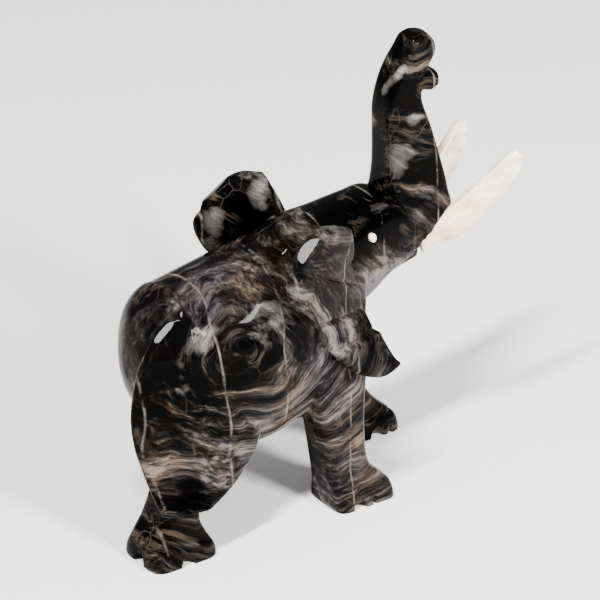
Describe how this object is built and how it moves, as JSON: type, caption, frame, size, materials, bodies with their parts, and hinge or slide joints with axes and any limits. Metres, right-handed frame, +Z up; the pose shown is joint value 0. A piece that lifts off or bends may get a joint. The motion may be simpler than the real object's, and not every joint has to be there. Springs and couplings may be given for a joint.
{
  "type": "marble elephant sculpture",
  "caption": "Striding elephant carved from one block of polished veined dark marble, trunk raised, with inset white onyx tusks and eyes.",
  "frame": {"origin": "on the ground plane under the soles, below the middle of the whole box", "axes": "+X the way the elephant faces, +Y its left side, +Z up"},
  "size_m": [0.202, 0.0814, 0.1998],
  "materials": {
    "veined_dark_marble": "polished",
    "white_onyx": "satin"
  },
  "bodies": {
    "root": {"elephant": "veined_dark_marble", "tusk_right": "white_onyx", "tusk_left": "white_onyx", "eye_right": "white_onyx", "eye_left": "white_onyx"}
  },
  "joints": []
}
